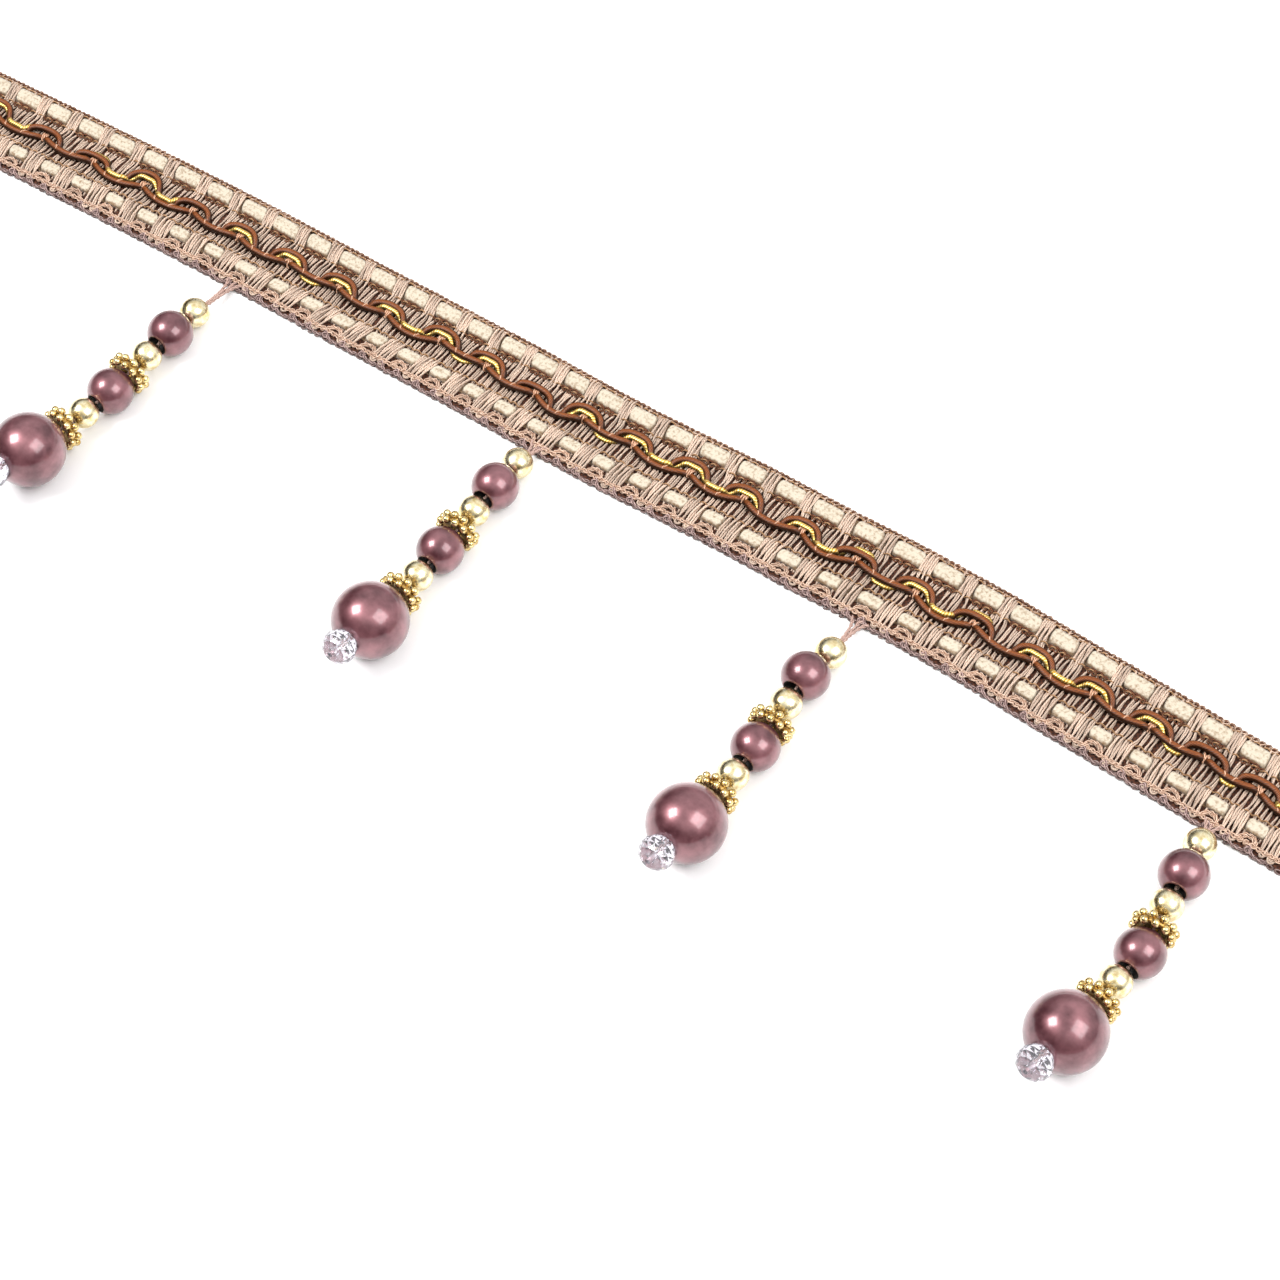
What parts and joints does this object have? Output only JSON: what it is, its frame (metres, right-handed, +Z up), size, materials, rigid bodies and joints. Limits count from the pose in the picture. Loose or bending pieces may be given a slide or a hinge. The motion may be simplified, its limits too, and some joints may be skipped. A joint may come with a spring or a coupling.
{
  "type": "beaded braid trim",
  "caption": "Straight cut length of woven gimp braid with ribbon blocks and wavy cords, lying flat, with strung drops of pearl, gold and faceted clear beads along one edge.",
  "frame": {"origin": "under the middle of the whole trim, on the surface that it lies on", "axes": "+X along the braid, +Y from the drops towards the plain edge, +Z up from the surface"},
  "size_m": [0.36, 0.0986, 0.0157],
  "materials": {
    "braid": "lustrous gimp yarn with cream ribbon blocks",
    "brown_cord": "glossy wrapped cord",
    "gold_cord": "metallic wrapped cord",
    "thread": "twisted lustrous yarn",
    "pearl": "pearlescent coat",
    "gold_bead": "pale gold plating, polished",
    "spacer": "gold plating, polished",
    "crystal": "clear, faceted"
  },
  "bodies": {
    "root": {"braid": "braid", "brown_cord_upper": "brown_cord", "gold_cord": "gold_cord", "brown_cord_lower": "brown_cord", "drop_1_gold_bead_upper": "gold_bead", "drop_1_pearl_upper": "pearl", "drop_1_gold_bead_middle": "gold_bead", "drop_1_spacer_upper": "spacer", "drop_1_pearl_lower": "pearl", "drop_1_gold_bead_lower": "gold_bead", "drop_1_spacer_lower": "spacer", "drop_1_big_pearl": "pearl", "drop_1_crystal": "crystal", "drop_1_thread": "thread", "drop_2_gold_bead_upper": "gold_bead", "drop_2_pearl_upper": "pearl", "drop_2_gold_bead_middle": "gold_bead", "drop_2_spacer_upper": "spacer", "drop_2_pearl_lower": "pearl", "drop_2_gold_bead_lower": "gold_bead", "drop_2_spacer_lower": "spacer", "drop_2_big_pearl": "pearl", "drop_2_crystal": "crystal", "drop_2_thread": "thread", "drop_3_gold_bead_upper": "gold_bead", "drop_3_pearl_upper": "pearl", "drop_3_gold_bead_middle": "gold_bead", "drop_3_spacer_upper": "spacer", "drop_3_pearl_lower": "pearl", "drop_3_gold_bead_lower": "gold_bead", "drop_3_spacer_lower": "spacer", "drop_3_big_pearl": "pearl", "drop_3_crystal": "crystal", "drop_3_thread": "thread", "drop_4_gold_bead_upper": "gold_bead", "drop_4_pearl_upper": "pearl", "drop_4_gold_bead_middle": "gold_bead", "drop_4_spacer_upper": "spacer", "drop_4_pearl_lower": "pearl", "drop_4_gold_bead_lower": "gold_bead", "drop_4_spacer_lower": "spacer", "drop_4_big_pearl": "pearl", "drop_4_crystal": "crystal", "drop_4_thread": "thread"}
  },
  "joints": []
}
